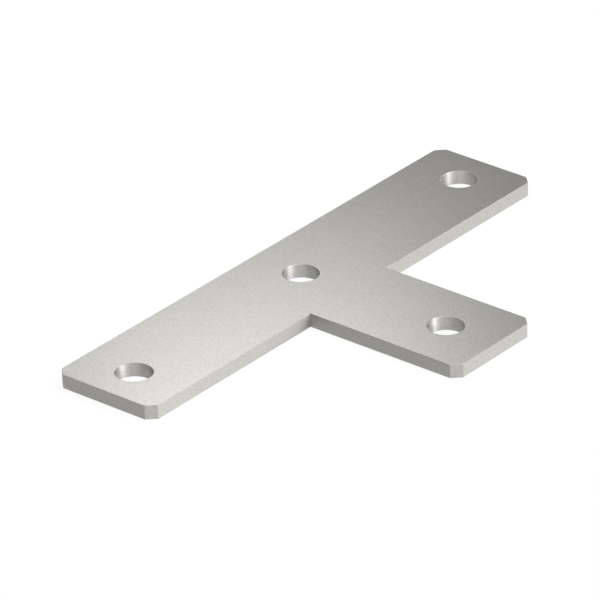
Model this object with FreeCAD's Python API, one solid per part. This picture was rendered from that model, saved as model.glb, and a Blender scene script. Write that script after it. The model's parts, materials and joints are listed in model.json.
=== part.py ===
"""Flat T plate bracket: one piece of 5 mm steel plate with a bolt hole at each end of the T and one at the joint.

The row frame has its origin on the axis of the joint hole, at the plate's underside. +X runs along the bar, the
stem points along -Y, and +Z is up through the thickness. All sizes are in millimetres.
"""

import FreeCAD, Part
import os

# The bar, which is the T's crosspiece
BAR_LENGTH = 200.0
BAR_WIDTH = 40.0

# The stem, which leaves the middle of the bar's front edge
STEM_WIDTH = 40.0
STEM_REACH = 60.0

# The plate
THICKNESS = 5.0
CORNER_CUT = 3.0
EDGE_RADIUS = 0.1

# The bolt holes, and how far the outer ones sit from the end of the arm that holds them
HOLE_DIAMETER = 12.5
BAR_HOLE_INSET = 15.0
STEM_HOLE_INSET = 20.0

# Two points closer than this are the same point
SAME_POINT = 1e-6

half_bar = BAR_LENGTH / 2
half_stem = STEM_WIDTH / 2
back_edge = BAR_WIDTH / 2
front_edge = -back_edge
stem_end = front_edge - STEM_REACH

inner_corners = [(-half_stem, front_edge), (half_stem, front_edge)]
outer_corners = [
    (-half_bar, back_edge),
    (-half_bar, front_edge),
    (-half_stem, stem_end),
    (half_stem, stem_end),
    (half_bar, front_edge),
    (half_bar, back_edge),
]

bar_hole_place = half_bar - BAR_HOLE_INSET
hole_centres = [
    (-bar_hole_place, 0.0),
    (0.0, 0.0),
    (bar_hole_place, 0.0),
    (0.0, stem_end + STEM_HOLE_INSET),
]


def blank():
    """The T cut from flat plate, with every corner still square."""
    left_end, right_end = outer_corners[:2], outer_corners[4:]
    left_root, right_root = inner_corners
    around = [*left_end, left_root, *outer_corners[2:4], right_root, *right_end]
    points = [FreeCAD.Vector(x, y, 0) for x, y in around]
    outline = Part.makePolygon([*points, points[0]])
    return Part.Face(outline).extrude(FreeCAD.Vector(0, 0, THICKNESS))


def upright_edges(solid, corners):
    """The edges that stand straight up through the plate at these corners of its outline."""
    found = []
    for edge in solid.Edges:
        low, high = edge.Vertexes[0].Point, edge.Vertexes[-1].Point
        stands = abs(high.z - low.z) > SAME_POINT
        for x, y in corners:
            corner = FreeCAD.Vector(x, y, low.z)
            if stands and low.isEqual(corner, SAME_POINT):
                found.append(edge)
    return found


def rim_edges(solid):
    """Every edge that lies in the top face or the underside: the outline, and both rims of each hole."""
    found = []
    for edge in solid.Edges:
        box = edge.BoundBox
        flat = box.ZLength < SAME_POINT
        if flat and min(abs(box.ZMin), abs(box.ZMin - THICKNESS)) < SAME_POINT:
            found.append(edge)
    return found


def cut_corners(plate):
    """Cuts the six outer corners at 45 degrees. The two inner corners stay square."""
    return plate.makeChamfer(CORNER_CUT, upright_edges(plate, outer_corners))


def drill_holes(plate):
    """Bores the bolt holes straight through."""
    for x, y in hole_centres:
        foot = FreeCAD.Vector(x, y, 0)
        plate = plate.cut(Part.makeCylinder(HOLE_DIAMETER / 2, THICKNESS, foot))
    return plate


def deburr(plate):
    """Rounds the sharp edges of the outline and the holes, as tumbling does."""
    return plate.makeFillet(EDGE_RADIUS, rim_edges(plate))


def t_plate():
    return deburr(drill_holes(cut_corners(blank())))


def main():
    os.makedirs("parts", exist_ok=True)
    plate = t_plate()
    if not plate.isValid() or len(plate.Solids) != 1:
        raise ValueError("the plate isn't one valid solid")
    plate.Solids[0].exportStep("parts/t_plate.step")
    box = plate.BoundBox
    print(f"t_plate {box.XLength:.2f} x {box.YLength:.2f} x {box.ZLength:.2f} mm, {plate.Volume / 1000:.2f} cm3")


main()
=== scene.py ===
"""Flat steel T plate with cut corners and four bolt holes, lying on a pale studio floor.

The row frame has its origin on the axis of the joint hole, where the centre lines of the bar and the stem
cross, at the plate's underside. +X runs along the bar and -Y along the stem. Lengths are in metres.
"""

import json
import math

import bmesh
import bpy
from mathutils import Euler, Matrix, Vector


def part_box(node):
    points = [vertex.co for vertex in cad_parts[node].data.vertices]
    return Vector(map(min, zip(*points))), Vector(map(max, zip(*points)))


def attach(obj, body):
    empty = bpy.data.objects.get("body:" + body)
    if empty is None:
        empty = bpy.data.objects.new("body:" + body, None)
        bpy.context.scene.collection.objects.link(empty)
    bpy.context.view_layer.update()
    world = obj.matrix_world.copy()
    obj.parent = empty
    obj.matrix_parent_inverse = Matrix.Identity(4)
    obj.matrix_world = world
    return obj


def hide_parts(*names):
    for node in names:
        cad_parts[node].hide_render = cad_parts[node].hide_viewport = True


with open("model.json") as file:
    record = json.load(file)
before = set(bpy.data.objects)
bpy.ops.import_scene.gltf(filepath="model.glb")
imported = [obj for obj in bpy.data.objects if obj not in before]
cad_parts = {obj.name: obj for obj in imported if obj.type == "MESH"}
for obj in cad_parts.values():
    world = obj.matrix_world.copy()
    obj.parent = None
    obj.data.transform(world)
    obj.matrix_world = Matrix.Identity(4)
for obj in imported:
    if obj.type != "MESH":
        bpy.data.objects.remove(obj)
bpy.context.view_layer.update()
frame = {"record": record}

# What the frame's box and mounts don't say of the plate's outline
STEM_WIDTH = 0.040
CORNER_CUT = 0.003
EDGE_RADIUS = 0.0001

# How finely the round edges and the bores are drawn, and the angle from which an edge stays sharp
EDGE_STEPS = 4
HOLE_SIDES = 96
SHARP_ANGLE = math.radians(35)

# The camera: where it stands, its tilt about its own line of sight, how far it sees and what it looks at
CAMERA_AZIMUTH = math.radians(-50.812)
CAMERA_ELEVATION = math.radians(28.07)
CAMERA_ROLL = math.radians(-0.881)
CAMERA_DISTANCE = 2.107
CAMERA_LENS = 388.9
CAMERA_REACH = 20
LOOKED_AT = Vector((-0.01488, -0.01152, 0.005))

# The rolled faces and the cut walls: base colour where the grain is dark and where it is light. Both are
# one steel, with the faces' tones painted darker and the walls' tones painted lighter, as painted shade and
# painted light that fit how the lamps and the floor light the top and the sides
FACE_TONES_PAINTED_DARKER = (0.312, 0.307, 0.291, 1), (0.614, 0.604, 0.574, 1)
WALL_TONES_PAINTED_LIGHTER = (0.535, 0.526, 0.499, 1), (0.875, 0.861, 0.817, 1)

# How rough each is where its grain is darkest, and how much rougher it is where the grain is lightest
FACE_ROUGHNESS = 0.37
WALL_ROUGHNESS = 0.59
ROUGHNESS_SPREAD = 0.06

# How fine each grain is, how far it is drawn out along each axis, and how deep it is on the faces
FACE_GRAIN = 1900.0
WALL_GRAIN = 1800.0
EVEN = (1.0, 1.0, 1.0)
LENGTHWISE = (0.5, 0.5, 1.0)
GRAIN_DEPTH = 0.000006

# How far the walls spread a reflection one way, and the share of a turn that stands that spread upright
WALL_SPREAD = 0.95
UPRIGHT = 0.25

# Steel mirrors less than a perfect metal does where it is seen almost edge on
GRAZING_TINT = (0.5, 0.5, 0.5, 1)

# The floor: half its width, how high its far edges turn up, and how much of its white is its own
FLOOR_HALF = 4.0
FLOOR_RISE = 0.5
FLOOR_GLOW = 0.9

# The room: its white, how bright it is all round, and how far off the large softboxes stand
WHITE = (1, 1, 1, 1)
SKY_STRENGTH = 0.37
LAMP_DISTANCE = 2.5

low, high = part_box("t_plate")
holes = [mount for mount in frame["record"]["mounts"] if mount["kind"] == "bore"]


class Wire:
    """One output of a material's node tree. Sums and products on it add Math nodes to that tree."""

    def __init__(self, tree, socket):
        self.tree = tree
        self.socket = socket

    def combined(self, operation, left, right):
        return self.tree.node("ShaderNodeMath", {"operation": operation}, {0: left, 1: right})

    def __add__(self, other):
        return self.combined("ADD", self, other)

    def __radd__(self, other):
        return self.combined("ADD", other, self)

    def __mul__(self, other):
        return self.combined("MULTIPLY", self, other)

    def __rmul__(self, other):
        return self.combined("MULTIPLY", other, self)


class Tree:
    """The node tree of one new material, or of the world."""

    def __init__(self, owner):
        owner.use_nodes = True
        self.nodes = owner.node_tree.nodes
        self.links = owner.node_tree.links
        self.nodes.clear()

    def node(self, kind, settings=None, sockets=None, output=0):
        """Adds a node, applies its settings, then gives each named socket a value or a wire."""
        made = self.nodes.new(kind)
        for name, value in (settings or {}).items():
            setattr(made, name, value)
        for name, value in (sockets or {}).items():
            if isinstance(value, Wire):
                self.links.new(value.socket, made.inputs[name])
            else:
                made.inputs[name].default_value = value
        return Wire(self, made.outputs[output]) if made.outputs else made


def direction(azimuth, elevation):
    """The unit vector towards a place round the object. Azimuth 0 is in front of the stem's end."""
    flat = math.cos(elevation)
    return Vector((math.sin(azimuth) * flat, -math.cos(azimuth) * flat, math.sin(elevation)))


def make_camera():
    data = bpy.data.cameras.new("photo_view")
    data.lens = CAMERA_LENS
    data.clip_end = CAMERA_REACH
    camera = bpy.data.objects.new("photo_view", data)
    bpy.context.scene.collection.objects.link(camera)
    turn = Euler((math.pi / 2 - CAMERA_ELEVATION, 0, CAMERA_AZIMUTH)).to_matrix()
    turn = turn @ Matrix.Rotation(CAMERA_ROLL, 3, "Z")
    place = LOOKED_AT + direction(CAMERA_AZIMUTH, CAMERA_ELEVATION) * CAMERA_DISTANCE
    camera.matrix_world = Matrix.Translation(place) @ turn.to_4x4()
    bpy.context.scene.camera = camera


def t_outline():
    """The plate's outline with its six outer corners cut off, anticlockwise seen from above."""
    left, right = low.x, high.x
    half_stem = STEM_WIDTH / 2
    # The bar's centre line runs through the origin
    back, front = high.y, -high.y
    corners = [
        Vector(place)
        for place in [
            (left, back),
            (left, front),
            (-half_stem, front),
            (-half_stem, low.y),
            (half_stem, low.y),
            (half_stem, front),
            (right, front),
            (right, back),
        ]
    ]
    cut = []
    for index, corner in enumerate(corners):
        to_last = (corners[index - 1] - corner).normalized()
        to_next = (corners[(index + 1) % len(corners)] - corner).normalized()
        if to_next.cross(to_last) > 0:
            cut += [corner + to_last * CORNER_CUT, corner + to_next * CORNER_CUT]
        else:
            cut.append(corner)
    return cut


def hole_outline(hole):
    """One hole's rim, clockwise seen from above, so that the steel is on its left as on the T's outline."""
    centre = Vector(hole["pos_m"][:2])
    radius = hole["dims"]["r_mm"] / 1000
    turns = [2 * math.pi * step / HOLE_SIDES for step in range(HOLE_SIDES)]
    return [centre + Vector((math.cos(turn), -math.sin(turn))) * radius for turn in turns]


def drawn_in(outline, inset):
    """A closed outline with every side moved into the steel, and each corner along its mitre."""
    moved = []
    for index, point in enumerate(outline):
        arriving = (point - outline[index - 1]).normalized().orthogonal()
        leaving = (outline[(index + 1) % len(outline)] - point).normalized().orthogonal()
        moved.append(point + (arriving + leaving) * inset / (1 + arriving.dot(leaving)))
    return moved


def edge_profile():
    """How far in and how high each ring of a wall lies, from the underside to the top face."""
    quarter = [math.pi / 2 * step / EDGE_STEPS for step in range(EDGE_STEPS + 1)]
    lower = [(EDGE_RADIUS * (1 - math.sin(turn)), EDGE_RADIUS * (1 - math.cos(turn))) for turn in quarter]
    upper = [(inset, high.z - low.z - height) for inset, height in reversed(lower)]
    return lower + upper


def wall(mesh, outline):
    """Builds one wall with rounded edges and returns the edges of its lowest and highest ring."""
    rings = [
        [mesh.verts.new((point.x, point.y, low.z + height)) for point in drawn_in(outline, inset)]
        for inset, height in edge_profile()
    ]
    for below, above in zip(rings, rings[1:]):
        for index in range(len(outline)):
            face = mesh.faces.new((below[index - 1], below[index], above[index], above[index - 1]))
            face.material_index = 1
            face.smooth = True
    return [
        [mesh.edges.get((ring[index - 1], ring[index])) for index in range(len(ring))]
        for ring in (rings[0], rings[-1])
    ]


def plate_mesh():
    """The plate as one closed mesh: a wall round the T and in each hole, then the underside and the top."""
    mesh = bmesh.new()
    rims = [wall(mesh, outline) for outline in [t_outline(), *map(hole_outline, holes)]]
    for level in zip(*rims):
        edges = [edge for rim in level for edge in rim]
        bmesh.ops.triangle_fill(mesh, use_beauty=True, edges=edges)
    bmesh.ops.recalc_face_normals(mesh, faces=mesh.faces)
    data = bpy.data.meshes.new("dressed_plate")
    mesh.to_mesh(data)
    mesh.free()
    data.set_sharp_from_angle(angle=SHARP_ANGLE)
    return data


def make_plate():
    data = plate_mesh()
    piece = bpy.data.objects.new("dressed_plate", data)
    bpy.context.scene.collection.objects.link(piece)
    shading = piece.modifiers.new("even_faces", "WEIGHTED_NORMAL")
    shading.keep_sharp = True
    for material in (face_steel(), wall_steel()):
        data.materials.append(material)
    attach(piece, "root")
    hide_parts("t_plate")


def grain(tree, fineness, stretch):
    """Fine noise fixed to the object, drawn out along an axis where its stretch is below 1."""
    place = tree.node("ShaderNodeTexCoord", output="Object")
    drawn = tree.node("ShaderNodeMapping", {}, {"Vector": place, "Scale": stretch})
    sockets = {"Vector": drawn, "Scale": fineness, "Detail": 3.0, "Roughness": 0.6}
    return tree.node("ShaderNodeTexNoise", {}, sockets)


def blend(tree, share, tones):
    """The colour a share of the way from the first tone to the second."""
    return tree.node("ShaderNodeMix", {"data_type": "RGBA"}, {0: share, 6: tones[0], 7: tones[1]}, output=2)


def end_in_steel(tree, marks, tones, roughness, others):
    """Ends a material in bare steel whose colour and roughness follow its marks."""
    sockets = {
        "Base Color": blend(tree, marks, tones),
        "Metallic": 1.0,
        "Specular Tint": GRAZING_TINT,
        "Roughness": roughness + ROUGHNESS_SPREAD * marks,
    }
    steel = tree.node("ShaderNodeBsdfPrincipled", {}, {**sockets, **others})
    tree.node("ShaderNodeOutputMaterial", {}, {"Surface": steel})


def face_steel():
    """Rolled steel with an even satin grain."""
    material = bpy.data.materials.new("face_steel")
    tree = Tree(material)
    marks = grain(tree, FACE_GRAIN, EVEN)
    relief = tree.node("ShaderNodeBump", {}, {"Strength": 1.0, "Distance": GRAIN_DEPTH, "Height": marks})
    # The face tones are painted darker than the steel, as painted shade on the faces
    end_in_steel(tree, marks, FACE_TONES_PAINTED_DARKER, FACE_ROUGHNESS, {"Normal": relief})
    return material


def wall_steel():
    """Cut and drilled steel, whose fine lengthwise marks spread a reflection up and down."""
    material = bpy.data.materials.new("wall_steel")
    tree = Tree(material)
    marks = grain(tree, WALL_GRAIN, LENGTHWISE)
    spread = {"Anisotropic": WALL_SPREAD, "Anisotropic Rotation": UPRIGHT}
    # The wall tones are painted lighter than the steel, as painted light on the walls and bores
    end_in_steel(tree, marks, WALL_TONES_PAINTED_LIGHTER, WALL_ROUGHNESS, spread)
    return material


def floor_white():
    """White paint that takes shadows, under a white of its own that the camera and reflections see."""
    material = bpy.data.materials.new("floor_white")
    tree = Tree(material)
    paint = tree.node("ShaderNodeBsdfDiffuse", {}, {"Color": WHITE})
    glow = tree.node("ShaderNodeEmission", {}, {"Color": WHITE, "Strength": 1.0})
    in_picture = tree.node("ShaderNodeLightPath", output="Is Camera Ray")
    mirrored = tree.node("ShaderNodeLightPath", output="Is Glossy Ray")
    through_glass = tree.node("ShaderNodeLightPath", output="Is Transmission Ray")
    seen = in_picture + mirrored + through_glass
    surface = tree.node("ShaderNodeMixShader", {}, {0: FLOOR_GLOW * seen, 1: paint, 2: glow})
    tree.node("ShaderNodeOutputMaterial", {}, {"Surface": surface})
    return material


def make_floor():
    """A white floor that turns up along its far edges, so that a low camera sees white all round."""
    near, far = -FLOOR_HALF, FLOOR_HALF
    corners = [(near, near), (far, near), (far, far), (near, far)]
    points = [(x, y, low.z + height) for height in (0, FLOOR_RISE) for x, y in corners]
    sides = [(index, (index + 1) % 4, (index + 1) % 4 + 4, index + 4) for index in range(4)]
    mesh = bpy.data.meshes.new("studio_floor")
    mesh.from_pydata(points, [], [(0, 1, 2, 3), *sides])
    mesh.materials.append(floor_white())
    floor = bpy.data.objects.new("studio_floor", mesh)
    bpy.context.scene.collection.objects.link(floor)


def make_world():
    world = bpy.data.worlds.new("studio")
    bpy.context.scene.world = world
    tree = Tree(world)
    sky = tree.node("ShaderNodeBackground", {}, {"Color": WHITE, "Strength": SKY_STRENGTH})
    tree.node("ShaderNodeOutputWorld", {}, {"Surface": sky})


def softbox(name, place, target, width, height, watts):
    """A rectangular lamp at a place, facing a point, that the camera doesn't see."""
    data = bpy.data.lights.new(name, "AREA")
    data.shape = "RECTANGLE"
    data.size, data.size_y = width, height
    data.energy = watts
    lamp = bpy.data.objects.new(name, data)
    bpy.context.scene.collection.objects.link(lamp)
    lamp.visible_camera = False
    lamp.location = place
    lamp.rotation_euler = (Vector(target) - Vector(place)).to_track_quat("-Z", "Y").to_euler()


def far_softbox(name, azimuth, elevation, width, height, watts):
    """A softbox that faces the joint hole from afar. Its azimuth and elevation are in degrees."""
    place = direction(math.radians(azimuth), math.radians(elevation)) * LAMP_DISTANCE
    softbox(name, place, (0, 0, 0), width, height, watts)


def make_lamps():
    """A bright strip for the bores, two broad softboxes, and a near lamp that fades along the top."""
    far_softbox("key_light", azimuth=22, elevation=31, width=0.4, height=2.8, watts=33)
    far_softbox("side_light", azimuth=33, elevation=31, width=4.4, height=2.8, watts=31)
    far_softbox("fill_light", azimuth=-38, elevation=25, width=4.2, height=1.8, watts=26)
    near_place, near_target = (0.062, 0.067, 0.265), (-0.02, -0.015, 0.005)
    softbox("rear_light", near_place, near_target, width=0.144, height=0.36, watts=0.533)


make_camera()
make_plate()
make_floor()
make_world()
make_lamps()

bpy.context.scene.view_settings.view_transform = "Standard"
